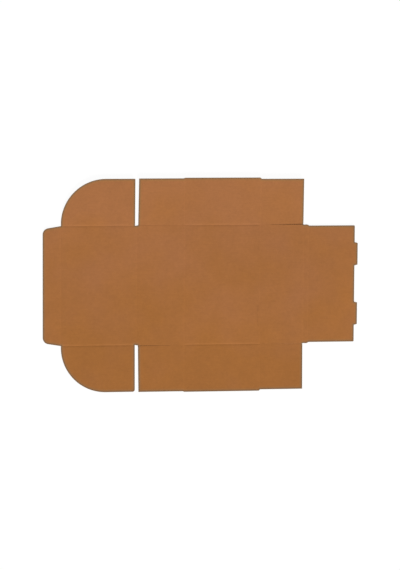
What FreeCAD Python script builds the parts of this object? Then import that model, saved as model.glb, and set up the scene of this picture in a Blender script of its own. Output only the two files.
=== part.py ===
import FreeCAD, Part
import os
import Sketcher
from FreeCAD import Placement, Rotation, Vector

# Flat blank of a hamburger box, die-cut and creased from one sheet of thin kraft corrugated board.
# It lies open on its outer face, inner face up, the way it leaves the cutter and before it is folded.
#
# Along X: tuck flap, lid, back wall, base, outer front wall, roll-over strip, inner front wall.
# Along Y: a side wall with two ears at each end of the base, a round dust flap at each end of the lid.
# The origin is the middle of the base panel's underside. +X points to the front, +Z is up,
# the far side is +Y and the near side is -Y. Lengths are in millimetres, angles in degrees.
SIZES = [
    ("board", 1.5, "thickness of the board"),
    ("base_depth", 114.6, "base panel, back crease to front crease"),
    ("base_width", 180.0, "base panel, side crease to side crease"),
    ("back_height", 72.5, "back wall, crease to crease"),
    ("lid_depth", 113.6, "lid, back wall crease to tuck crease"),
    ("lid_inset", 0.4, "lid's ends stand inside the side creases by this"),
    ("tuck_depth", 26.8, "tuck flap, crease to edge"),
    ("tuck_taper", 9.3, "lean of the tuck flap's two ends"),
    ("tuck_radius", 9.5, "round corners of the tuck flap"),
    ("front_height", 66.8, "outer front wall, crease to crease"),
    ("strip_width", 7.1, "roll-over strip, crease to crease"),
    ("strip_inset", 0.3, "strip's ends stand inside the side creases by this"),
    ("strip_shoulder", 2.9, "run of the slope from the strip's ends to the inner wall's"),
    ("inner_height", 70.7, "inner front wall, crease to edge"),
    ("inner_inset", 1.8, "inner wall's ends stand inside the side creases by this"),
    ("inner_radius", 1.5, "round corners of the inner wall"),
    ("tab_length", 4.7, "lock tab, out of the inner wall's edge"),
    ("tab_width", 35.4, "lock tab at its root"),
    ("tab_taper", 1.3, "lock tab is narrower at each side of its tip by this"),
    ("tab_spacing", 90.4, "between the middles of the two lock tabs"),
    ("slit_clearance", 1.0, "lock slit is longer than the tab by this"),
    ("slit_offset", 2.8, "lock slit stands inside the front crease by this"),
    ("wall_height", 71.1, "side wall, crease to edge"),
    ("ear_back_drop", 0.9, "back ear is lower than the side wall by this"),
    ("ear_front_drop", 2.0, "front ear is lower than the side wall by this"),
    ("ear_step", 2.4, "run of the slope from the side wall's edge to an ear's"),
    ("ear_shift", 0.7, "front ear's crease stands outside the front crease by this"),
    ("ear_lead", 1.7, "slope beside the front ear starts inside the ear's crease by this"),
    ("ear_front_gap", 1.1, "front ear ends short of the roll-over strip by this"),
    ("ear_back_gap", 2.5, "back ear ends short of the lid crease by this"),
    ("ear_slant", 0.6, "lean of the back ear's end"),
    ("dust_height", 70.2, "dust flap, crease to edge"),
    ("dust_root", 3.0, "straight root below the dust flap's quarter round"),
    ("dust_inset", 0.3, "dust flap starts inside the tuck crease by this"),
    ("dust_gap", 2.4, "dust flap ends short of the lid crease by this"),
    ("dust_corner_far", 1.0, "radius of the far dust flap's other corner"),
    ("dust_corner_near", 3.5, "radius of the near dust flap's other corner"),
    ("cut_width", 0.3, "gap that the cutting rule leaves"),
    ("cut_relief", 0.8, "the cuts beside the ears open towards their ends by this"),
    ("crease_radius", 1.2, "round nose of the creasing rule"),
    ("crease_depth", 0.25, "depth of a crease pressed into the inner face"),
    ("side_spring_far", 2.8, "lift of the far side wall and its ears off the flat"),
    ("side_spring_near", 1.3, "lift of the near side wall and its ears off the flat"),
    ("dust_spring_far", 2.3, "lift of the far dust flap off the flat"),
    ("dust_spring_near", 1.3, "lift of the near dust flap off the flat"),
    ("tuck_spring", 0.6, "lift of the tuck flap off the flat"),
    ("front_spring", 0.4, "lift of the roll-over strip and inner wall off the flat"),
]

# Creases, as places along X, and the far side crease along Y.
SIDE_CREASE = "(Sizes.base_width / 2)"
FRONT_CREASE = "(Sizes.base_depth / 2)"
BACK_CREASE = "(-Sizes.base_depth / 2)"
LID_CREASE = f"({BACK_CREASE} - Sizes.back_height)"
TUCK_CREASE = f"({LID_CREASE} - Sizes.lid_depth)"
STRIP_CREASE = f"({FRONT_CREASE} + Sizes.front_height)"
INNER_CREASE = f"({STRIP_CREASE} + Sizes.strip_width)"
EAR_CREASE = f"({FRONT_CREASE} + Sizes.ear_shift)"

# Edges, as places along X, then edges and ends, as places along Y on the far side.
TUCK_EDGE = f"({TUCK_CREASE} - Sizes.tuck_depth)"
INNER_EDGE = f"({INNER_CREASE} + Sizes.inner_height)"
DUST_START = f"({TUCK_CREASE} + Sizes.dust_inset)"
DUST_END = f"({LID_CREASE} - Sizes.dust_gap)"
EAR_BACK_END = f"({LID_CREASE} + Sizes.ear_back_gap)"
EAR_FRONT_END = f"({STRIP_CREASE} - Sizes.ear_front_gap)"
WALL_EDGE = f"({SIDE_CREASE} + Sizes.wall_height)"
EAR_BACK_EDGE = f"({WALL_EDGE} - Sizes.ear_back_drop)"
EAR_FRONT_EDGE = f"({WALL_EDGE} - Sizes.ear_front_drop)"
LID_END = f"({SIDE_CREASE} - Sizes.lid_inset)"
DUST_EDGE = f"({LID_END} + Sizes.dust_height)"
STRIP_END = f"({SIDE_CREASE} - Sizes.strip_inset)"
INNER_END = f"({SIDE_CREASE} - Sizes.inner_inset)"

# Lock slits along Y, each side of the middle.
SLIT_HALF = "((Sizes.tab_width + Sizes.slit_clearance) / 2)"
SLIT_INSIDE = f"(Sizes.tab_spacing / 2 - {SLIT_HALF})"
SLIT_OUTSIDE = f"(Sizes.tab_spacing / 2 + {SLIT_HALF})"

# Raw sheet that reaches past the die line by this, before it is cut away.
WASTE = "5"

# Middle of the creasing rule's round nose, above the underside of the panel that it presses.
NOSE = "(Sizes.board - Sizes.crease_depth + Sizes.crease_radius)"

ALONG_X = Vector(1, 0, 0)
ALONG_Z = Vector(0, 0, 1)


def make_sheet(doc):
    """Spreadsheet with one aliased cell for each driving size."""
    sheet = doc.addObject("Spreadsheet::Sheet", "Sizes")
    for row, (alias, value, meaning) in enumerate(SIZES, start=1):
        sheet.set(f"A{row}", alias)
        sheet.set(f"B{row}", str(value))
        sheet.set(f"C{row}", meaning)
        sheet.setAlias(f"B{row}", alias)
    doc.recompute()


def new_sketch(body, name, role, base=("0", "0", "0"), axis=ALONG_Z, angle="0"):
    """Sketch on one of the body's origin planes, moved and turned in that plane's own frame."""
    plane = next(item for item in body.Origin.OriginFeatures if item.Role == role)
    sketch = body.newObject("Sketcher::SketchObject", name)
    sketch.AttachmentSupport = [(plane, "")]
    sketch.MapMode = "FlatFace"
    sketch.AttachmentOffset = Placement(Vector(0, 0, 0), Rotation(axis, 1))
    for direction, expression in zip("xyz", base):
        sketch.setExpression(f"AttachmentOffset.Base.{direction}", expression)
    sketch.setExpression("AttachmentOffset.Rotation.Angle", angle)
    return sketch


def dimension(sketch, kind, name, expression, *geometry):
    """Driving dimension of a sketch, bound to the sheet."""
    value = float(sketch.evalExpression(expression))
    index = sketch.addConstraint(Sketcher.Constraint(kind, *geometry, value))
    sketch.renameConstraint(index, name)
    sketch.setExpression(f"Constraints.{name}", expression)


def place_point(sketch, name, geometry, point, x, y):
    """Hold a point of the sketch at x, y from the sketch's origin."""
    dimension(sketch, "DistanceX", f"{name}_x", x, -1, 1, geometry, point)
    dimension(sketch, "DistanceY", f"{name}_y", y, -1, 1, geometry, point)


def add_outline(sketch, name, corners):
    """Closed outline through corners, each an x and a y, and a radius where it is round."""
    spots = [Vector(sketch.evalExpression(x), sketch.evalExpression(y), 0) for x, y, *_ in corners]
    lines = []
    for start, end in zip(spots, spots[1:] + spots[:1]):
        lines.append(sketch.addGeometry(Part.LineSegment(start, end)))
    for before, line in zip(lines[-1:] + lines[:-1], lines):
        sketch.addConstraint(Sketcher.Constraint("Coincident", before, 2, line, 1))
    for line, (x, y, *_) in zip(lines, corners):
        place_point(sketch, f"{name}{line}", line, 1, x, y)
    for line, (_, _, *radius) in zip(lines, corners):
        if radius:
            sketch.fillet(line, 1, sketch.evalExpression(radius[0]), True, True)
            arc = sketch.GeometryCount - 2
            dimension(sketch, "Radius", f"{name}_round{line}", radius[0], arc)


def extrude(body, kind, sketch, length, reverse=False):
    """Pad or Pocket of a sketch, over a length bound to the sheet."""
    feature = body.newObject(f"PartDesign::{kind}", sketch.Name.replace("sketch", kind.lower()))
    feature.Profile = (sketch, [""])
    feature.Type = "Length"
    feature.Reversed = reverse
    feature.setExpression("Length", length)
    sketch.Visibility = False


def make_spine(body):
    """Raw sheet of the panels that lie flat in one row: lid, back wall, base and outer front wall."""
    sketch = new_sketch(body, "spine_sketch", "XY_Plane")
    add_outline(sketch, "corner", [
        (TUCK_CREASE, f"-{LID_END}"),
        (LID_CREASE, f"-{LID_END}"),
        (LID_CREASE, f"-{SIDE_CREASE}"),
        (STRIP_CREASE, f"-{SIDE_CREASE}"),
        (STRIP_CREASE, SIDE_CREASE),
        (LID_CREASE, SIDE_CREASE),
        (LID_CREASE, LID_END),
        (TUCK_CREASE, LID_END),
    ])
    extrude(body, "Pad", sketch, "Sizes.board")


def make_flap(body, name, role, hinge, outward, reach, spring, start, length):
    """Raw sheet of a flap: its section leaves the flat panel at hinge and rises by the spring angle."""
    sketch = new_sketch(body, f"{name}_sketch", role, ("0", "0", start))
    run = f"(({reach} + {WASTE}) * cos({spring}))"
    rise = f"(({reach} + {WASTE}) * sin({spring}))"
    lean = f"(Sizes.board * sin({spring}))"
    add_outline(sketch, "corner", [
        (hinge, "0"),
        (f"{hinge} {outward} {run}", rise),
        (f"{hinge} {outward} ({run} - {lean})", f"{rise} + Sizes.board * cos({spring})"),
        (hinge, "Sizes.board"),
    ])
    extrude(body, "Pad", sketch, length)


def make_flaps(body):
    """The six flaps that spring up a little from their creases."""
    for side, sign in (("far", "+"), ("near", "-")):
        make_flap(
            body, f"side_wall_{side}", "YZ_Plane", f"{sign}{SIDE_CREASE}", sign,
            "Sizes.wall_height", f"Sizes.side_spring_{side}",
            EAR_BACK_END, f"{EAR_FRONT_END} - {EAR_BACK_END}",
        )
        make_flap(
            body, f"dust_flap_{side}", "YZ_Plane", f"{sign}{LID_END}", sign,
            "Sizes.dust_height", f"Sizes.dust_spring_{side}",
            DUST_START, f"{DUST_END} - {DUST_START}",
        )
    make_flap(
        body, "tuck_flap", "XZ_Plane", TUCK_CREASE, "-",
        "Sizes.tuck_depth", "Sizes.tuck_spring", f"-{LID_END}", f"2 * {LID_END}",
    )
    make_flap(
        body, "inner_front", "XZ_Plane", STRIP_CREASE, "+",
        "(Sizes.strip_width + Sizes.inner_height + Sizes.tab_length)", "Sizes.front_spring",
        f"-{STRIP_END}", f"2 * {STRIP_END}",
    )


def press_crease(body, name, role, place, base, length, axis=ALONG_Z, angle="0", reverse=False):
    """Round groove in the inner face, as the creasing rule leaves it, with its middle at place."""
    sketch = new_sketch(body, f"{name}_sketch", role, base, axis, angle)
    middle = Vector(sketch.evalExpression(place), sketch.evalExpression(NOSE), 0)
    radius = sketch.evalExpression("Sizes.crease_radius")
    circle = sketch.addGeometry(Part.Circle(middle, ALONG_Z, radius))
    place_point(sketch, "nose", circle, 3, place, NOSE)
    dimension(sketch, "Radius", "nose_radius", "Sizes.crease_radius", circle)
    extrude(body, "Pocket", sketch, length, reverse)


def press_creases(body):
    """Every crease of the blank. The front one stops at the lock slits."""
    across = [
        ("tuck_crease", TUCK_CREASE, f"-{LID_END}", LID_END),
        ("lid_crease", LID_CREASE, f"-{SIDE_CREASE}", SIDE_CREASE),
        ("back_crease", BACK_CREASE, f"-{SIDE_CREASE}", SIDE_CREASE),
        ("front_crease_near", FRONT_CREASE, f"-{SIDE_CREASE}", f"-{SLIT_OUTSIDE}"),
        ("front_crease_middle", FRONT_CREASE, f"-{SLIT_INSIDE}", SLIT_INSIDE),
        ("front_crease_far", FRONT_CREASE, SLIT_OUTSIDE, SIDE_CREASE),
        ("strip_crease", STRIP_CREASE, f"-{SIDE_CREASE}", SIDE_CREASE),
    ]
    for name, x, start, end in across:
        press_crease(body, name, "XZ_Plane", x, ("0", "0", f"-({start})"), f"{end} - ({start})")
    press_crease(
        body, "inner_crease", "XZ_Plane", "Sizes.strip_width", (STRIP_CREASE, "0", STRIP_END),
        f"2 * {STRIP_END}", ALONG_Z, "Sizes.front_spring",
    )
    along = [
        ("side_crease", SIDE_CREASE, BACK_CREASE, FRONT_CREASE),
        ("dust_crease", LID_END, DUST_START, DUST_END),
    ]
    for side, sign in (("far", "+"), ("near", "-")):
        for name, y, start, end in along:
            press_crease(
                body, f"{name}_{side}", "YZ_Plane", f"{sign}{y}", ("0", "0", end), f"{end} - {start}"
            )
        for name, x in (("back", BACK_CREASE), ("front", EAR_CREASE)):
            press_crease(
                body, f"{name}_ear_crease_{side}", "XZ_Plane", x,
                ("0", "0", f"-({sign}{SIDE_CREASE} {sign} Sizes.cut_width)"),
                f"Sizes.wall_height + {WASTE}", ALONG_X, f"{sign}Sizes.side_spring_{side}", side == "near",
            )


def die_line(side):
    """Corners of the blank's outline on the far side, from the tuck flap to the inner wall's tab."""
    ear_root = f"({SIDE_CREASE} + Sizes.cut_width + Sizes.cut_relief)"
    slant = f"({EAR_BACK_EDGE} - {SIDE_CREASE}) * tan(Sizes.ear_slant)"
    tab_tip = f"({INNER_EDGE} + Sizes.tab_length)"
    return [
        (TUCK_EDGE, f"({LID_END} - Sizes.tuck_depth * tan(Sizes.tuck_taper))", "Sizes.tuck_radius"),
        (TUCK_CREASE, LID_END),
        (DUST_START, LID_END),
        (DUST_START, DUST_EDGE, "Sizes.dust_height - Sizes.dust_root"),
        (DUST_END, DUST_EDGE, f"Sizes.dust_corner_{side}"),
        (DUST_END, LID_END),
        (LID_CREASE, LID_END),
        (LID_CREASE, SIDE_CREASE),
        (BACK_CREASE, SIDE_CREASE),
        (BACK_CREASE, f"({SIDE_CREASE} + Sizes.cut_width)"),
        (EAR_BACK_END, ear_root),
        (f"{EAR_BACK_END} + {slant}", EAR_BACK_EDGE),
        (f"{BACK_CREASE} - Sizes.ear_step", EAR_BACK_EDGE),
        (BACK_CREASE, WALL_EDGE),
        (f"{EAR_CREASE} - Sizes.ear_lead", WALL_EDGE),
        (f"{EAR_CREASE} - Sizes.ear_lead + Sizes.ear_step", EAR_FRONT_EDGE),
        (EAR_FRONT_END, EAR_FRONT_EDGE),
        (EAR_FRONT_END, ear_root),
        (FRONT_CREASE, f"({SIDE_CREASE} + Sizes.cut_width)"),
        (FRONT_CREASE, SIDE_CREASE),
        (STRIP_CREASE, SIDE_CREASE),
        (STRIP_CREASE, STRIP_END),
        (f"{INNER_CREASE} - Sizes.strip_shoulder / 2", STRIP_END),
        (f"{INNER_CREASE} + Sizes.strip_shoulder / 2", INNER_END),
        (INNER_EDGE, INNER_END, "Sizes.inner_radius"),
        (INNER_EDGE, "((Sizes.tab_spacing + Sizes.tab_width) / 2)"),
        (tab_tip, "((Sizes.tab_spacing + Sizes.tab_width) / 2 - Sizes.tab_taper)"),
        (tab_tip, "((Sizes.tab_spacing - Sizes.tab_width) / 2 + Sizes.tab_taper)"),
        (INNER_EDGE, "((Sizes.tab_spacing - Sizes.tab_width) / 2)"),
    ]


def cut_outline(body):
    """Everything outside the die line is cut away."""
    sketch = new_sketch(body, "die_line_sketch", "XY_Plane")
    near_half = [(x, f"-{y}", *radius) for x, y, *radius in reversed(die_line("near"))]
    add_outline(sketch, "corner", die_line("far") + near_half)
    left = f"{TUCK_EDGE} - 2 * {WASTE}"
    right = f"{INNER_EDGE} + Sizes.tab_length + 2 * {WASTE}"
    end = f"({WALL_EDGE} + Sizes.dust_height + 2 * {WASTE})"
    add_outline(sketch, "waste", [(left, f"-{end}"), (right, f"-{end}"), (right, end), (left, end)])
    extrude(body, "Pocket", sketch, f"Sizes.wall_height + {WASTE}", reverse=True)


def cut_lock_slits(body):
    """Cut in the base for each lock tab: a long leg, and from each end a short leg to the crease."""
    inner_x = f"({FRONT_CREASE} - Sizes.slit_offset)"
    outer_x = f"({inner_x} - Sizes.cut_width)"
    for side, sign in (("far", "+"), ("near", "-")):
        sketch = new_sketch(body, f"lock_slit_{side}_sketch", "XY_Plane")
        add_outline(sketch, "corner", [
            (outer_x, f"{sign}{SLIT_INSIDE}"),
            (FRONT_CREASE, f"{sign}{SLIT_INSIDE}"),
            (FRONT_CREASE, f"{sign}({SLIT_INSIDE} + Sizes.cut_width)"),
            (inner_x, f"{sign}({SLIT_INSIDE} + Sizes.cut_width)"),
            (inner_x, f"{sign}({SLIT_OUTSIDE} - Sizes.cut_width)"),
            (FRONT_CREASE, f"{sign}({SLIT_OUTSIDE} - Sizes.cut_width)"),
            (FRONT_CREASE, f"{sign}{SLIT_OUTSIDE}"),
            (outer_x, f"{sign}{SLIT_OUTSIDE}"),
        ])
        extrude(body, "Pocket", sketch, "Sizes.board", reverse=True)


def make_blank(doc):
    """The whole blank, one sheet and so one body: laid out, creased, then die-cut."""
    body = doc.addObject("PartDesign::Body", "box_blank")
    body.Label = "box_blank"
    body.Placement = Placement(Vector(0, 0, 0), Rotation())
    make_spine(body)
    make_flaps(body)
    press_creases(body)
    cut_outline(body)
    cut_lock_slits(body)
    return body


def check_model(doc, body):
    """Stop if a feature failed, a pad adds nothing, a pocket cuts nothing, or the sheet came apart."""
    for item in doc.Objects:
        if "Invalid" in item.State or "Error" in item.State:
            raise RuntimeError(f"{item.Label} failed: {item.State}")
    volume = 0
    for feature in body.Group:
        if feature.isDerivedFrom("PartDesign::Feature"):
            change = feature.Shape.Volume - volume
            adds = feature.TypeId == "PartDesign::Pad"
            if change == 0 or (change > 0) != adds:
                raise RuntimeError(f"{feature.Label} changed the volume by {change:.3f} mm3")
            volume = feature.Shape.Volume
    if body.Shape.isNull() or not body.Shape.isValid() or len(body.Shape.Solids) != 1:
        raise RuntimeError(f"{body.Label} isn't one valid solid")


doc = FreeCAD.newDocument("hamburger_box")
make_sheet(doc)
blank = make_blank(doc)
doc.recompute()
check_model(doc, blank)
os.makedirs("parts", exist_ok=True)
blank.Shape.exportStep(f"parts/{blank.Label}.step")
print(f"{blank.Label}: {blank.Shape.Volume:.0f} mm3, {blank.Shape.BoundBox}")
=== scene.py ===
import math

import bpy
import numpy as np
from mathutils import Euler, Matrix, Vector, geometry, noise
from mathutils.bvhtree import BVHTree


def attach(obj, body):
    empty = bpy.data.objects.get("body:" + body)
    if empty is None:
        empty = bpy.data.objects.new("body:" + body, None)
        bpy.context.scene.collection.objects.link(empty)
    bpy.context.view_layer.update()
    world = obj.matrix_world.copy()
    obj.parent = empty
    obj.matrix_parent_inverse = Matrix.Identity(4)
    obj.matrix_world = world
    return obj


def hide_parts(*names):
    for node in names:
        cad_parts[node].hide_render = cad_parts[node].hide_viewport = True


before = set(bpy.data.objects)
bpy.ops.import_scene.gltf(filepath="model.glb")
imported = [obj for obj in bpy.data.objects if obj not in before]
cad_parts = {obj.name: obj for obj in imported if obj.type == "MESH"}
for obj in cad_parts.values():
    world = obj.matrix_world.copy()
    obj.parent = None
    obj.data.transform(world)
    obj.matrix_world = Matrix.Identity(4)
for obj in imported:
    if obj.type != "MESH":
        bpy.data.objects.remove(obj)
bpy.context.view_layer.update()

# Looks of the flat hamburger box blank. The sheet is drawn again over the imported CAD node: its outline
# and its height are read from the node, and its creases, rolled cut edges and slight warp are shaped here.
# Lengths are in millimetres until a mesh is written. +X is the front, +Y the far side, +Z is up.
NODE = "box_blank"
METRES = 0.001

# Places of the creases, from the same sizes as the CAD part.
BACK, FRONT = -57.3, 57.3
LID = BACK - 72.5
TUCK = LID - 113.6
STRIP = FRONT + 66.8
INNER = STRIP + 7.1
EAR_FRONT = FRONT + 0.7
SIDE = 90.0
LID_END = SIDE - 0.4
STRIP_END = SIDE - 0.3
EAR_ROOT = SIDE + 0.3
WALL_EDGE = SIDE + 71.1
DUST_START, DUST_END = TUCK + 0.3, LID - 2.4
SLIT_INSIDE, SLIT_OUTSIDE = 27.0, 63.4

# Each crease is the axis that it lies across, its place on that axis, and its two ends on the other one.
CREASES = [
    (0, TUCK, -LID_END, LID_END),
    (0, LID, -SIDE, SIDE),
    (0, BACK, -SIDE, SIDE),
    (0, FRONT, -SIDE, -SLIT_OUTSIDE),
    (0, FRONT, -SLIT_INSIDE, SLIT_INSIDE),
    (0, FRONT, SLIT_OUTSIDE, SIDE),
    (0, STRIP, -SIDE, SIDE),
    (0, INNER, -STRIP_END, STRIP_END),
]
for side in (-1, 1):
    ear = sorted((side * EAR_ROOT, side * WALL_EDGE))
    CREASES += [(0, BACK, *ear), (0, EAR_FRONT, *ear)]
    CREASES += [(1, side * SIDE, BACK, FRONT), (1, side * LID_END, DUST_START, DUST_END)]

# Section of a crease: a groove, in board that is dished a little on both sides of it, and paper made lighter
# over it, partly by rubbing and partly by a painted highlight. Each pair is for the creases that lie across
# X, then for those that lie across Y.
GROOVE_DEPTH, GROOVE_WIDTH = (0.07, 0.19), (0.6, 1.3)
DISH_DEPTH, DISH_WIDTH = (0.10, 0.04), (4.5, 2.4)
CREASE_RUB_AND_HIGHLIGHT, CREASE_RUB_AND_HIGHLIGHT_WIDTH = (0.025, 0.0), (1.2, 2.6)
CREASE_UNEVEN, CREASE_UNEVEN_LENGTH = 0.25, 14.0
CREASE_STEPS = (0.0, 0.22, 0.45, 0.75, 1.15, 1.8, 3.0, 5.0)

# Rings of corners along every cut: distance from it, and how far the top and bottom edge roll off there.
RINGS = [(0.0, 0.10, 0.08), (0.06, 0.04, 0.03), (0.2, 0.01, 0.0), (0.6, 0.0, 0.0)]
# The knife leaves a low lip along every free cut: its height, its width, and where its corners lie.
LIP_HEIGHT, LIP_WIDTH = 0.09, 2.0
LIP_STEPS = (1.1, 1.7)
# A corner of the lip is left out where another cut is nearer to it than its own, by more than this.
LIP_TOLERANCE = 0.02
# Rows of corners up the wall of a cut, as shares of its height, and how hollow and uneven the wall is.
WALL_ROWS = (0.1, 0.35)
WALL_HOLLOW, WALL_UNEVEN_LENGTH = 0.06, 1.1

# Grid of the mesh between the cuts: most and least distance of its lines, least room from its corners to the
# rings and the lip, least room on a straight cut from a grid line to the cut's ends, and the distance below
# which two corners of the net would be one.
GRID_STEP = 3.2
GRID_NEAREST = 0.15
GRID_MARGIN = 0.4
CORNER_MARGIN = RINGS[-1][0] + 0.1
NET_TOLERANCE = 1e-5

# How the CAD mesh is read: decimals at which its corners are welded, and the Z of a normal below which a
# face belongs to the underside.
WELD_DIGITS = 3
FACING_DOWN = -0.5
# Two chords that turn less than SOFT_TURN are parts of a round stretch. Where one of them has less than
# SHORT_SHARE of their length, the other is the straight beside the stretch. A chord is straight where the
# outline leaves and arrives within an angle whose cosine is STRAIGHT, and an arc has a corner each ARC_STEP.
SOFT_TURN = math.radians(28)
SHORT_SHARE = 0.2
STRAIGHT = math.cos(math.radians(0.3))
ARC_STEP = 1.5
# An edge is met only where it is more than AHEAD away, and its cross product with the step towards it isn't
# below PARALLEL.
AHEAD = 0.01
PARALLEL = 1e-9

# Slits: the widest gap that counts as one, how near its middle the fibres of both sides come at the
# underside, how much of a free cut's roll-off its edges have, and how far the top of a lock slit is open.
SLIT_REACH = 1.2
SLIT_CLOSE = 0.003
SLIT_ROLL = 0.1
LOCK_OPEN = 0.24
# Past EARS_FROM a slit is beside an ear. There its top opens from the crease on, as EAR_POWER of its share
# of EAR_REACH, up to a width for each ear: at the front or not, and on the far side or not.
EARS_FROM = SIDE - 2
EAR_OPEN = {(True, True): 1.1, (False, False): 0.42, (True, False): 0.15, (False, True): 0.08}
EAR_REACH = 67.0
EAR_POWER = 1.5

# Slight warp of the whole sheet, and the places in the noise where each unevenness is taken.
WARP_HEIGHT, WARP_LENGTH = 0.12, 55.0
WARP_SEED, CREASE_SEED, WALL_SEED = 4.7, 1.3, 7.9

# The material reads distances from the cuts up to FAR_FROM_RIM.
FAR_FROM_RIM = 8.0

# Rays that find the underside's height start UNDER_PROBE below the floor. The two that measure the board's
# thickness start BOARD_PROBE above and below it.
UNDER_PROBE = 5
BOARD_PROBE = 50


# ---------------------------------------------------------------- the CAD node's outline

def read_cad(cad):
    """The node's corners in millimetres, welded by place, and its faces."""
    number, corners, weld = {}, [], []
    for vertex in cad.data.vertices:
        spot = tuple(round(value / METRES, WELD_DIGITS) for value in vertex.co)
        if spot not in number:
            number[spot] = len(corners)
            corners.append(spot)
        weld.append(number[spot])
    faces = [[weld[corner] for corner in polygon.vertices] for polygon in cad.data.polygons]
    return corners, [face for face in faces if len(set(face)) == len(face)]


def cut_loops(corners, faces):
    """Plan outlines of every cut, from the rim of the underside, with the board on the left of each."""
    used = set()
    for face in faces:
        a, b, c = (Vector(corners[corner]) for corner in face[:3])
        if (b - a).cross(c - a).normalized().z < FACING_DOWN:
            used.update(zip(face, face[1:] + face[:1]))
    after = {end: start for start, end in used if (end, start) not in used}
    loops = []
    for first in sorted(after):
        if first in after:
            loop, corner = [first], after.pop(first)
            while corner != first:
                loop.append(corner)
                corner = after.pop(corner)
            loops.append([Vector(corners[corner][:2]) for corner in loop])
    return loops


def grid_lines(axis, low, high):
    """Places of the mesh's grid lines on one axis: close together at creases, even between them."""
    across = [(place, step) for way, place, *_ in CREASES if way == axis for step in CREASE_STEPS]
    wanted = sorted((step, place + side * step) for place, step in across for side in (-1, 1))
    lines = [low, high]
    for _, place in wanted:
        if low < place < high and min(abs(place - line) for line in lines) >= GRID_NEAREST:
            lines.append(place)
    lines.sort()
    filled = []
    for start, end in zip(lines, lines[1:]):
        count = math.ceil((end - start) / GRID_STEP)
        filled += [start + (end - start) * part / count for part in range(count)]
    return filled + [high]


def turned(direction, angle):
    """The direction, turned to the left by this angle."""
    return Vector((
        direction.x * math.cos(angle) - direction.y * math.sin(angle),
        direction.x * math.sin(angle) + direction.y * math.cos(angle),
    ))


def chord_directions(chords):
    """Direction in which the true outline leaves the start of each chord, and arrives at it."""
    leaving, arriving = [], []
    for before, after in zip(chords[-1:] + chords[:-1], chords):
        turn = math.atan2(before.cross(after), before.dot(after))
        arrive, leave = before.normalized(), after.normalized()
        if abs(turn) < SOFT_TURN:
            share = before.length / (before.length + after.length)
            share = 0.0 if share > 1 - SHORT_SHARE else 1.0 if share < SHORT_SHARE else share
            arrive = leave = turned(arrive, turn * share)
        arriving.append(arrive)
        leaving.append(leave)
    return leaving, arriving


def refine(loop, x_lines, y_lines):
    """The loop with round arcs in place of the CAD mesh's chords, and a corner at each grid line."""
    chords = [end - start for start, end in zip(loop, loop[1:] + loop[:1])]
    leaving, arriving = chord_directions(chords)
    refined = []
    for number, (start, chord) in enumerate(zip(loop, chords)):
        end = start + chord
        leave, arrive = leaving[number], arriving[(number + 1) % len(loop)]
        along = chord.normalized()
        refined.append(start)
        if min(leave.dot(along), arrive.dot(along)) > STRAIGHT:
            axis, lines = (0, x_lines) if abs(chord.x) > abs(chord.y) else (1, y_lines)
            shares = sorted((line - start[axis]) / chord[axis] for line in lines)
            clear = CORNER_MARGIN / chord.length
            refined += [start + chord * share for share in shares if clear < share < 1 - clear]
        else:
            count = math.ceil(chord.length / ARC_STEP)
            first, second = start + leave * chord.length / 3, end - arrive * chord.length / 3
            for part in range(1, count):
                t = part / count
                refined.append(
                    start * (1 - t) ** 3 + first * 3 * t * (1 - t) ** 2
                    + second * 3 * t * t * (1 - t) + end * t ** 3
                )
    return refined


def inward(loop):
    """At each corner, the step that moves the loop's two edges there 1 mm into the board."""
    steps = []
    for before, here, after in zip(loop[-1:] + loop[:-1], loop, loop[1:] + loop[:1]):
        a, b = (here - before).normalized(), (after - here).normalized()
        normals = Vector((-a.y, a.x)), Vector((-b.y, b.x))
        steps.append((normals[0] + normals[1]) / (1 + normals[0].dot(normals[1])))
    return steps


def join_loops(loops):
    """The corners of all loops in one list, and for each the number of the next one on its loop."""
    rim, next_in_loop = [], []
    for loop in loops:
        next_in_loop += [len(rim) + (number + 1) % len(loop) for number in range(len(loop))]
        rim += loop
    return rim, next_in_loop


# ---------------------------------------------------------------- measures in the plan

def on_board(points, edges):
    """Whether each point is inside the cuts."""
    inside = np.zeros(len(points), bool)
    x, y = points.T
    for a, b in edges:
        if a.y != b.y:
            crosses = (y > min(a.y, b.y)) & (y <= max(a.y, b.y))
            inside ^= crosses & (x < a.x + (y - a.y) * (b.x - a.x) / (b.y - a.y))
    return inside


def room_ahead(points, ways, edges):
    """How many times each point can take its step before it meets an edge."""
    nearest = np.full(len(points), np.inf)
    x, y = points.T
    for a, b in edges:
        run_x, run_y = b.x - a.x, b.y - a.y
        cross = ways[:, 0] * run_y - ways[:, 1] * run_x
        cross = np.where(np.abs(cross) < PARALLEL, np.nan, cross)
        ahead = ((a.x - x) * run_y - (a.y - y) * run_x) / cross
        share = ((a.x - x) * ways[:, 1] - (a.y - y) * ways[:, 0]) / cross
        met = (ahead > AHEAD) & (share >= 0) & (share <= 1)
        nearest = np.where(met, np.fmin(nearest, ahead), nearest)
    return nearest


def distance_to_edges(points, edges):
    """Distance of each point to the nearest of these edges."""
    nearest = np.full(len(points), np.inf)
    x, y = points.T
    for a, b in edges:
        run_x, run_y = b.x - a.x, b.y - a.y
        share = ((x - a.x) * run_x + (y - a.y) * run_y) / (run_x * run_x + run_y * run_y)
        share = np.clip(share, 0, 1)
        nearest = np.minimum(nearest, np.hypot(x - a.x - share * run_x, y - a.y - share * run_y))
    return nearest


def smooth_noise(points, length, seed):
    """Soft noise from about -1 to 1, with bumps about this many millimetres long."""
    place = Vector((0, 0, seed))
    return np.array([noise.noise(Vector((x, y, 0)) / length + place) for x, y in points])


# ---------------------------------------------------------------- the sheet

def slit_opening(x, y):
    """How far the top of a slit stands open at a place."""
    if abs(y) <= EARS_FROM:
        return LOCK_OPEN
    return EAR_OPEN[x > 0, y > 0] * max(0, (abs(x) - FRONT) / EAR_REACH) ** EAR_POWER


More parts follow.
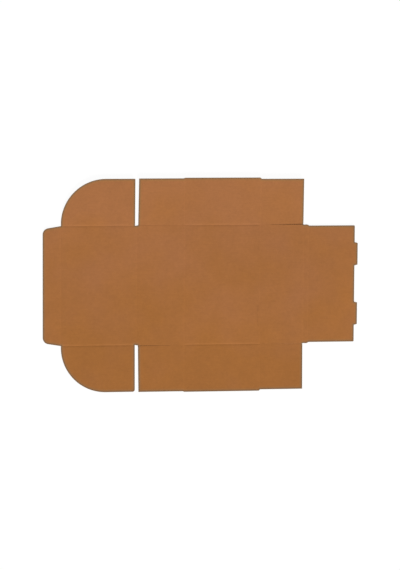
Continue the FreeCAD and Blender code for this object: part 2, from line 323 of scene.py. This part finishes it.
def slit_section(rim, steps, edges):
    """Which cuts are free, and how far the others reach into their slit, at the underside and on top.

    A cut that isn't free faces another panel across a slit. There torn fibres close the gap near the
    underside, and the two panels stand open by different amounts above it.
    """
    gap = room_ahead(np.array(rim), -steps, edges)
    free = gap > SLIT_REACH
    gap = np.where(free, 0, gap)
    opening = [slit_opening(x, y) for x, y in rim]
    closed = np.where(free, 0, gap / 2 - SLIT_CLOSE)
    spread = np.where(free, 0, np.clip(gap - opening, 0, gap) / 2)
    return free, closed, spread


def inside_corners(x_lines, y_lines, edges, free_edges, free_rim, free_steps):
    """Corners of the mesh inside the rings: those of the grid, then those of the lip."""
    corners = np.array([(x, y) for x in x_lines for y in y_lines])
    corners = corners[on_board(corners, edges)]
    corners = corners[distance_to_edges(corners, edges) > RINGS[-1][0] + GRID_MARGIN]
    corners = corners[distance_to_edges(corners, free_edges) > LIP_STEPS[-1] + GRID_MARGIN]
    for distance in LIP_STEPS:
        lip = free_rim + free_steps * distance
        lip = lip[distance_to_edges(lip, edges) > distance - LIP_TOLERANCE]
        corners = np.vstack([corners, lip])
    return corners


def flat_net(points, next_in_loop):
    """Triangles between the innermost rings, which are the first points, through all the others."""
    spots, _, triangles, sources, _, _ = geometry.delaunay_2d_cdt(
        [Vector(point) for point in points], list(enumerate(next_in_loop)), [], 2, NET_TOLERANCE
    )
    if len(spots) != len(points):
        raise ValueError("the sheet's rings cross each other")
    return [[sources[corner][0] for corner in triangle] for triangle in triangles]


def crease_section(points):
    """How deep the creases press each point, and how much they change its brightness, by rubbing and a
    painted highlight.
    """
    pressed, shade = np.zeros(len(points)), np.zeros(len(points))
    for axis, place, start, end in CREASES:
        along = points[:, 1 - axis]
        past = np.maximum(0, np.maximum(start - along, along - end))
        away = np.hypot(points[:, axis] - place, past)
        depth = GROOVE_DEPTH[axis] * np.exp(-(away / GROOVE_WIDTH[axis]) ** 2)
        depth += DISH_DEPTH[axis] * np.exp(-(away / DISH_WIDTH[axis]) ** 2)
        pressed = np.maximum(pressed, depth)
        # Lighter over the creases: rubbed paper and a painted highlight.
        shade = np.maximum(shade, CREASE_RUB_AND_HIGHLIGHT[axis] * np.exp(-(away / CREASE_RUB_AND_HIGHLIGHT_WIDTH[axis]) ** 2))
    return pressed, 1 + shade


def underside(solid, points):
    """Height of the CAD node's underside at each point, and the thickness of its board."""
    up = Vector((0, 0, 1))
    heights = []
    for x, y in points:
        hit = solid.ray_cast(Vector((x, y, -UNDER_PROBE)), up)[0]
        heights.append((hit or solid.find_nearest(Vector((x, y, 0)))[0]).z)
    start = up * BOARD_PROBE
    board = solid.ray_cast(start, -up)[0].z - solid.ray_cast(-start, up)[0].z
    return np.array(heights), board


def roll_off(roll, column, inside_count):
    """How far an edge rolls off at each corner: on the rings as that column of RINGS says, 0 inside them."""
    return np.concatenate([roll * ring[column] for ring in RINGS] + [np.zeros(inside_count)])


def sheet_faces(next_in_loop, triangles, size):
    """Faces of both sides of the board, then those of its cuts.

    The corners are numbered ring by ring and then inside them, for the inner face and again for the
    underside, size later. The rows of the cuts' walls follow.
    """
    count = len(next_in_loop)
    inmost = count * (len(RINGS) - 1)
    wall_rows = [size, *(2 * size + count * row for row in range(len(WALL_ROWS))), 0]
    sides, cuts = [], []
    for a, b, c in triangles:
        sides.append((inmost + a, inmost + b, inmost + c))
        sides.append((size + inmost + c, size + inmost + b, size + inmost + a))
    for number, following in enumerate(next_in_loop):
        for ring in range(0, inmost, count):
            quad = (ring + number, ring + following, ring + count + following, ring + count + number)
            sides.append(quad)
            sides.append(tuple(size + corner for corner in reversed(quad)))
        for lower, upper in zip(wall_rows, wall_rows[1:]):
            cuts.append((lower + number, lower + following, upper + following, upper + number))
    return sides, cuts


def make_sheet(cad):
    """One closed mesh of the creased and die-cut sheet, with the distances that its material reads."""
    corners, faces = read_cad(cad)
    low, high = np.min(corners, axis=0), np.max(corners, axis=0)
    x_lines, y_lines = grid_lines(0, low[0], high[0]), grid_lines(1, low[1], high[1])
    loops = [refine(loop, x_lines, y_lines) for loop in cut_loops(corners, faces)]
    steps = np.array([step for loop in loops for step in inward(loop)])
    rim, next_in_loop = join_loops(loops)
    edges = [(spot, rim[following]) for spot, following in zip(rim, next_in_loop)]
    free, closed, spread = slit_section(rim, steps, edges)
    free_edges = [
        edge for edge, here, following in zip(edges, free, next_in_loop) if here and free[following]
    ]

    # Plan of the mesh: its rings and the corners inside them. The wall's rows go from closed to spread.
    cut = np.array(rim)
    wall_plan = [cut - steps * value[:, None] for value in (closed, closed, spread, spread)]
    rings = [wall_plan[-1]] + [cut + steps * distance for distance, *_ in RINGS[1:]]
    inside = inside_corners(x_lines, y_lines, edges, free_edges, cut[free], steps[free])
    plan = np.vstack([*rings, inside])
    from_rim = distance_to_edges(plan, free_edges)
    triangles = flat_net(np.vstack([rings[-1], inside]), next_in_loop)

    # Heights of the underside and the inner face. At a cut they are read from the innermost ring.
    solid = BVHTree.FromPolygons(corners, faces)
    under, board = underside(solid, np.vstack([rings[-1]] * len(RINGS) + [inside]))
    under += WARP_HEIGHT * (0.5 + 0.5 * smooth_noise(plan, WARP_LENGTH, WARP_SEED))
    pressed, creased = crease_section(plan)
    pressed *= 1 + CREASE_UNEVEN * smooth_noise(plan, CREASE_UNEVEN_LENGTH, CREASE_SEED)
    pressed -= LIP_HEIGHT * np.clip(1 - from_rim / LIP_WIDTH, 0, 1)
    roll = np.where(free, 1, SLIT_ROLL)
    top_z = under + board - pressed - roll_off(roll, 1, len(inside))
    under_z = under + roll_off(roll, 2, len(inside))

    # Rows of the cut wall between the two faces, a little hollow and uneven.
    size, count = len(plan), len(rim)
    uneven = 0.5 + 0.5 * smooth_noise(wall_plan[0], WALL_UNEVEN_LENGTH, WALL_SEED)
    hollow = steps * (WALL_HOLLOW * uneven * free)[:, None]
    walls = []
    for row, spots in zip(WALL_ROWS, wall_plan[1:]):
        wall_z = under_z[:count] + (top_z[:count] - under_z[:count]) * row
        walls.append(np.column_stack([spots + hollow, wall_z]))

    under_plan = np.vstack([wall_plan[0], plan[count:]])
    places = np.vstack([np.column_stack([plan, top_z]), np.column_stack([under_plan, under_z]), *walls])
    sides, cuts = sheet_faces(next_in_loop, triangles, size)
    on_walls = count * len(WALL_ROWS)
    return mesh_object("kraft_blank", places, sides, cuts, {
        "from_rim": np.minimum(np.concatenate([from_rim, from_rim, np.zeros(on_walls)]), FAR_FROM_RIM),
        "creased": np.concatenate([creased, creased, np.ones(on_walls)]),
        "wall_height": np.concatenate([np.ones(size), np.zeros(size), np.repeat(WALL_ROWS, count)]),
    })


def mesh_object(name, places, sides, cuts, attributes):
    """A smooth mesh in the scene, with one material slot for its sides and one for its cuts."""
    mesh = bpy.data.meshes.new(name)
    mesh.from_pydata((places * METRES).tolist(), [], sides + cuts)
    if mesh.validate(verbose=False):
        raise ValueError("the sheet's mesh had a fault")
    mesh.polygons.foreach_set("use_smooth", [True] * len(mesh.polygons))
    mesh.polygons.foreach_set("material_index", [0] * len(sides) + [1] * len(cuts))
    for attribute_name, values in attributes.items():
        mesh.attributes.new(attribute_name, "FLOAT", "POINT").data.foreach_set("value", values)
    sheet = bpy.data.objects.new(name, mesh)
    bpy.context.scene.collection.objects.link(sheet)
    return sheet


# ---------------------------------------------------------------- materials

KRAFT_RED = (0.354, 0.1325, 0.0285, 1)
KRAFT_PALE = (0.354, 0.1355, 0.0435, 1)
RUBBED = (0.338, 0.143, 0.0430, 1)
# Darker, greyer band along the free cuts: partly crushed fibres, partly painted shade of the edge where it
# rolls off.
RIM_CRUSH_AND_SHADE = (0.221, 0.117, 0.049, 1)
# Painted shade: a dark colour for the fluting's hollows in the cut edge, where there is no paper.
CUT_HOLLOW_SHADE = (0.14, 0.063, 0.022, 1)
CUT_PAPER = (0.40, 0.19, 0.072, 1)
LINER_ROUGHNESS, LINER_GLOSS = 0.7, 0.2
CUT_ROUGHNESS, CUT_GLOSS = 0.95, 0.1

# Bands along the cuts, each from where it is full to where it ends, in millimetres from the cut.
RIM_CRUSH_AND_SHADE_BAND = (1.0, 3.0)
RUBBED_BAND = (2.0, 5.5)

# The colour turns from KRAFT_RED to KRAFT_PALE over this range of the noise of PULP, and further towards
# KRAFT_PALE with each millimetre towards the far side, which is painted sheen. Its noise is given as that of
# the flecks is.
PULP = (80, (1, 1, 1), 2.0, 0.45)
PULP_RANGE = (0.25, 0.75)
PAINTED_SHEEN_ACROSS = 0.0018

# Flecks: size, stretch, detail and roughness of their noise. Each kind begins at one value of it and is full
# at the next, while its factor for the colour goes from the first number to the last.
FLECKS = (0.9, (2.2, 1, 1), 1.0, 0.5)
DARK_FLECK = (0.70, 0.78, 1.0, 0.86)
PALE_FLECK = (0.30, 0.22, 1.0, 1.10)

# Grains of the paper: size in millimetres, stretch along X, detail, and how far they change its colour.
SHADE = (140.0, 1, 1.0, 0.08)
CLOUDS = (22.0, 1, 2.0, 0.065)
BLOTCHES = (4.0, 1, 2.0, 0.09)
STREAKS = (1.0, 14, 3.0, 0.07)
FIBRES = (0.35, 7, 3.0, 0.065)
CUT_FIBRES = (0.4, 1, 2.0, 0.3)
CUT_STAINS = (6.0, 1, 2.0, 0.15)
GRAIN_ROUGHNESS = 0.55

# Fluting: its pitch, and how much it shows in the liner's relief beside the fibres.
FLUTE_PITCH = 3.3
FLUTE_SHOWS = 0.25
RELIEF_STRENGTH, RELIEF_HEIGHT = 0.5, 0.03
# The cut edge, in shares of its height: the wave's middle and swing, and where the paper of the wave and of
# the liners begins to end and has ended, from the wave's line and from the liners' faces.
WAVE_MIDDLE, WAVE_SWING = 0.5, 0.3
WAVE_EDGE = (0.08, 0.2)
LINER_EDGE = (0.12, 0.22)

# Sockets of a Mix node that mixes colours. Its other kinds of data have sockets of the same names.
MIX_SHARE, MIX_FIRST, MIX_SECOND, MIX_RESULT = 0, 6, 7, 2


def add(tree, kind, inputs=None, **settings):
    """A shader node with its settings, and its sockets joined to others or set to a value."""
    node = tree.nodes.new(kind)
    for name, value in settings.items():
        setattr(node, name, value)
    for name, value in (inputs or {}).items():
        if isinstance(value, bpy.types.NodeSocket):
            tree.links.new(value, node.inputs[name])
        else:
            node.inputs[name].default_value = value
    return node


def math_node(tree, operation, *values):
    return add(tree, "ShaderNodeMath", dict(enumerate(values)), operation=operation).outputs[0]


def map_range(tree, value, start, end, low, high, smooth=True):
    """value from start to end becomes low to high."""
    return add(
        tree, "ShaderNodeMapRange",
        {"Value": value, "From Min": start, "From Max": end, "To Min": low, "To Max": high},
        interpolation_type="SMOOTHSTEP" if smooth else "LINEAR",
    ).outputs["Result"]


def fade(tree, value, start, end):
    """1 up to the start, 0 from the end on."""
    return map_range(tree, value, start, end, 1.0, 0.0)


def attribute(tree, name):
    return add(tree, "ShaderNodeAttribute", attribute_name=name, attribute_type="GEOMETRY").outputs["Fac"]


def millimetres(tree, stretch=(1, 1, 1)):
    """Object coordinates in millimetres, divided by a stretch along each axis."""
    place = add(tree, "ShaderNodeTexCoord").outputs["Object"]
    scale = tuple(1 / METRES / value for value in stretch)
    return add(tree, "ShaderNodeVectorMath", {0: place, 1: scale}, operation="MULTIPLY").outputs[0]


def place_along(tree, axis):
    """Object coordinate on one axis, in millimetres."""
    return add(tree, "ShaderNodeSeparateXYZ", {0: millimetres(tree)}).outputs[axis]


def noise_value(tree, size, stretch, detail, roughness):
    """Noise from 0 to 1 with features of this size in millimetres."""
    return add(
        tree, "ShaderNodeTexNoise",
        {"Vector": millimetres(tree, stretch), "Scale": 1 / size, "Detail": detail, "Roughness": roughness},
    ).outputs["Fac"]


def grain(tree, size, stretch, detail, amount):
    """Noise about 1, as a factor for a colour."""
    value = noise_value(tree, size, (stretch, 1, 1), detail, GRAIN_ROUGHNESS)
    return map_range(tree, value, 0.0, 1.0, 1 - amount, 1 + amount, smooth=False)


def mix(tree, share, first, second):
    inputs = {MIX_SHARE: share, MIX_FIRST: first, MIX_SECOND: second}
    return add(tree, "ShaderNodeMix", inputs, data_type="RGBA").outputs[MIX_RESULT]


def scaled(tree, colour, factors):
    """The colour times each of the factors."""
    for factor in factors:
        colour = add(tree, "ShaderNodeVectorMath", {0: colour, "Scale": factor}, operation="SCALE").outputs[0]
    return colour


def surface(name, roughness, specular):
    """An empty node material, with its shader's constant values set on the shader's own sockets."""
    material = bpy.data.materials.new(name)
    material.use_nodes = True
    tree = material.node_tree
    tree.nodes.clear()
    shader = add(tree, "ShaderNodeBsdfPrincipled", {"Roughness": roughness, "Specular IOR Level": specular})
    add(tree, "ShaderNodeOutputMaterial", {"Surface": shader.outputs[0]})
    return material, tree, shader


def kraft_face():
    """Liner of the board: brown kraft with long fibres and flecks, lighter towards the far side by painted
    sheen, creases lighter by rubbing and a painted highlight, and a greyer rim of crushed fibres and painted
    shade.
    """
    material, tree, shader = surface("kraft_liner", LINER_ROUGHNESS, LINER_GLOSS)
    from_rim = attribute(tree, "from_rim")
    pulp_and_sheen = noise_value(tree, *PULP)
    # Painted sheen: the colour turns lighter with each millimetre towards the far side.
    painted_sheen = math_node(tree, "MULTIPLY", place_along(tree, "Y"), PAINTED_SHEEN_ACROSS)
    pulp_and_sheen = map_range(tree, math_node(tree, "ADD", pulp_and_sheen, painted_sheen), *PULP_RANGE, 0.0, 1.0, smooth=False)
    colour = mix(tree, pulp_and_sheen, KRAFT_RED, KRAFT_PALE)
    colour = mix(tree, fade(tree, from_rim, *RUBBED_BAND), colour, RUBBED)
    # Greyer rim along the free cuts: partly crushed fibres, partly painted shade.
    colour = mix(tree, fade(tree, from_rim, *RIM_CRUSH_AND_SHADE_BAND), colour, RIM_CRUSH_AND_SHADE)
    fleck = noise_value(tree, *FLECKS)
    fibres = grain(tree, *FIBRES)
    factors = [attribute(tree, "creased")]
    factors += [map_range(tree, fleck, *kind) for kind in (DARK_FLECK, PALE_FLECK)]
    factors += [grain(tree, *kind) for kind in (SHADE, CLOUDS, BLOTCHES, STREAKS)]
    tree.links.new(scaled(tree, colour, [*factors, fibres]), shader.inputs["Base Color"])

    # A wave texture repeats every pi / 10, divided by its scale.
    flutes = add(
        tree, "ShaderNodeTexWave", {"Vector": millimetres(tree), "Scale": math.pi / 10 / FLUTE_PITCH},
        wave_type="BANDS", bands_direction="X", wave_profile="SIN",
    ).outputs["Fac"]
    relief = math_node(tree, "ADD", math_node(tree, "MULTIPLY", flutes, FLUTE_SHOWS), fibres)
    bump = add(
        tree, "ShaderNodeBump",
        {"Strength": RELIEF_STRENGTH, "Distance": RELIEF_HEIGHT * METRES, "Height": relief},
    )
    tree.links.new(bump.outputs[0], shader.inputs["Normal"])
    return material


def kraft_cut():
    """Cut edge of the board: two liners with the fluting's wave between them, and shade in its hollows."""
    material, tree, shader = surface("kraft_cut_edge", CUT_ROUGHNESS, CUT_GLOSS)
    turn = math_node(tree, "MULTIPLY", place_along(tree, "X"), 2 * math.pi / FLUTE_PITCH)
    wave = math_node(tree, "MULTIPLY_ADD", math_node(tree, "SINE", turn), WAVE_SWING, WAVE_MIDDLE)
    height = attribute(tree, "wall_height")
    off_wave = math_node(tree, "ABSOLUTE", math_node(tree, "SUBTRACT", height, wave))
    off_middle = math_node(tree, "ABSOLUTE", math_node(tree, "SUBTRACT", height, 0.5))
    off_liner = math_node(tree, "SUBTRACT", 0.5, off_middle)
    paper = math_node(tree, "MAXIMUM", fade(tree, off_wave, *WAVE_EDGE), fade(tree, off_liner, *LINER_EDGE))
    # Between the paper of the liners and the wave, the hollows get painted shade.
    colour = scaled(
        tree, mix(tree, paper, CUT_HOLLOW_SHADE, CUT_PAPER), [grain(tree, *CUT_FIBRES), grain(tree, *CUT_STAINS)]
    )
    tree.links.new(colour, shader.inputs["Base Color"])
    return material


def seen_directly(tree):
    """1 for a ray from the camera, or one that a gloss or a glass passes on, and otherwise 0."""
    path = add(tree, "ShaderNodeLightPath")
    seen = path.outputs["Is Camera Ray"]
    for name in ("Is Glossy Ray", "Is Transmission Ray"):
        seen = math_node(tree, "MAXIMUM", seen, path.outputs[name])
    return seen


# ---------------------------------------------------------------- floor, light and camera

# The floor bounces plain light onto the object. Seen directly, it is nearly white by itself, and takes
# only so much light that the object's shadow stays.
FLOOR_SIZE, FLOOR_CELLS = 12.0, 8
FLOOR_GAP = 0.0002
FLOOR_BOUNCE = (0.8, 0.8, 0.8, 1)
FLOOR_WHITE = 0.94
FLOOR_SHADE = (0.08, 0.08, 0.08, 1)

# Light as shares of plain light, at which a colour renders as it is written.
WORLD_LIGHT, KEY_LIGHT, FILL_LIGHT = 0.24, 0.54, 0.22
KEY_SOFTNESS = math.radians(24)
KEY_HEIGHT = math.radians(26)
KEY_SIDE = math.radians(20)
KEY_DISTANCE = 3.0
FILL_HEIGHT = math.radians(68)
FILL_DISTANCE, FILL_SIZE = 2.2, 1.0

# The camera's reach is its focal length in pixels, and its sensor is as long as the picture is high.
FRAME_HEIGHT = 570
CAMERA_REACH = 2600
CAMERA_SENSOR = 36
CAMERA_SEES = 50
CAMERA_PLACE = Vector((-610.7, 382.8, 3838.3))
CAMERA_PITCH = math.radians(-5.68)
CAMERA_YAW = math.radians(-8.52)
CAMERA_ROLL = math.radians(0.30)


def make_floor():
    """A large plain floor, just below the object."""
    bpy.ops.mesh.primitive_grid_add(
        x_subdivisions=FLOOR_CELLS, y_subdivisions=FLOOR_CELLS, size=FLOOR_SIZE, location=(0, 0, -FLOOR_GAP)
    )
    floor = bpy.context.object
    floor.name = "floor"
    material = bpy.data.materials.new("floor_white")
    material.use_nodes = True
    tree = material.node_tree
    tree.nodes.clear()
    seen = seen_directly(tree)
    diffuse = add(tree, "ShaderNodeBsdfDiffuse", {"Color": mix(tree, seen, FLOOR_BOUNCE, FLOOR_SHADE)})
    white = add(tree, "ShaderNodeEmission", {"Strength": math_node(tree, "MULTIPLY", seen, FLOOR_WHITE)})
    both = add(tree, "ShaderNodeAddShader", {0: diffuse.outputs[0], 1: white.outputs[0]})
    add(tree, "ShaderNodeOutputMaterial", {"Surface": both.outputs[0]})
    floor.data.materials.append(material)


def place_lamp(lamp, lean, side, distance):
    """A lamp that shines at the middle of the frame, leaning from straight above it towards -Y."""
    aim = Euler((lean, 0, side)).to_matrix()
    placed = bpy.data.objects.new(lamp.name, lamp)
    placed.matrix_world = Matrix.Translation(aim @ Vector((0, 0, distance))) @ aim.to_4x4()
    bpy.context.scene.collection.objects.link(placed)


def make_light():
    """A white world that lights less than it shows, a low soft key lamp and a high fill."""
    world = bpy.data.worlds.new("studio")
    bpy.context.scene.world = world
    world.use_nodes = True
    tree = world.node_tree
    tree.nodes.clear()
    strength = map_range(tree, seen_directly(tree), 0.0, 1.0, WORLD_LIGHT, 1.0, smooth=False)
    background = add(tree, "ShaderNodeBackground", {"Color": (1, 1, 1, 1), "Strength": strength})
    add(tree, "ShaderNodeOutputWorld", {"Surface": background.outputs[0]})

    key = bpy.data.lights.new("key", "SUN")
    key.angle = KEY_SOFTNESS
    key.energy = KEY_LIGHT * math.pi / math.sin(KEY_HEIGHT)
    place_lamp(key, math.pi / 2 - KEY_HEIGHT, KEY_SIDE, KEY_DISTANCE)
    fill = bpy.data.lights.new("fill", "AREA")
    fill.shape = "SQUARE"
    fill.size = FILL_SIZE
    fill.energy = FILL_LIGHT * math.pi ** 2 * FILL_DISTANCE ** 2 / math.sin(FILL_HEIGHT)
    place_lamp(fill, FILL_HEIGHT - math.pi / 2, 0.0, FILL_DISTANCE)


def make_camera():
    """Camera far above the blank, a few degrees off square to it."""
    lens = bpy.data.cameras.new("camera")
    lens.sensor_width = CAMERA_SENSOR
    lens.lens = CAMERA_REACH * lens.sensor_width / FRAME_HEIGHT
    lens.clip_end = CAMERA_SEES
    camera = bpy.data.objects.new("camera", lens)
    turn = (
        Matrix.Rotation(CAMERA_ROLL, 3, "Z") @ Matrix.Rotation(CAMERA_YAW, 3, "Y")
        @ Matrix.Rotation(CAMERA_PITCH, 3, "X")
    )
    camera.matrix_world = Matrix.Translation(CAMERA_PLACE * METRES) @ turn.to_4x4()
    bpy.context.scene.collection.objects.link(camera)
    bpy.context.scene.camera = camera


blank = make_sheet(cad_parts[NODE])
blank.data.materials.append(kraft_face())
blank.data.materials.append(kraft_cut())
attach(blank, "root")
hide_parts(NODE)
make_floor()
make_light()
make_camera()
bpy.context.scene.view_settings.view_transform = "Standard"
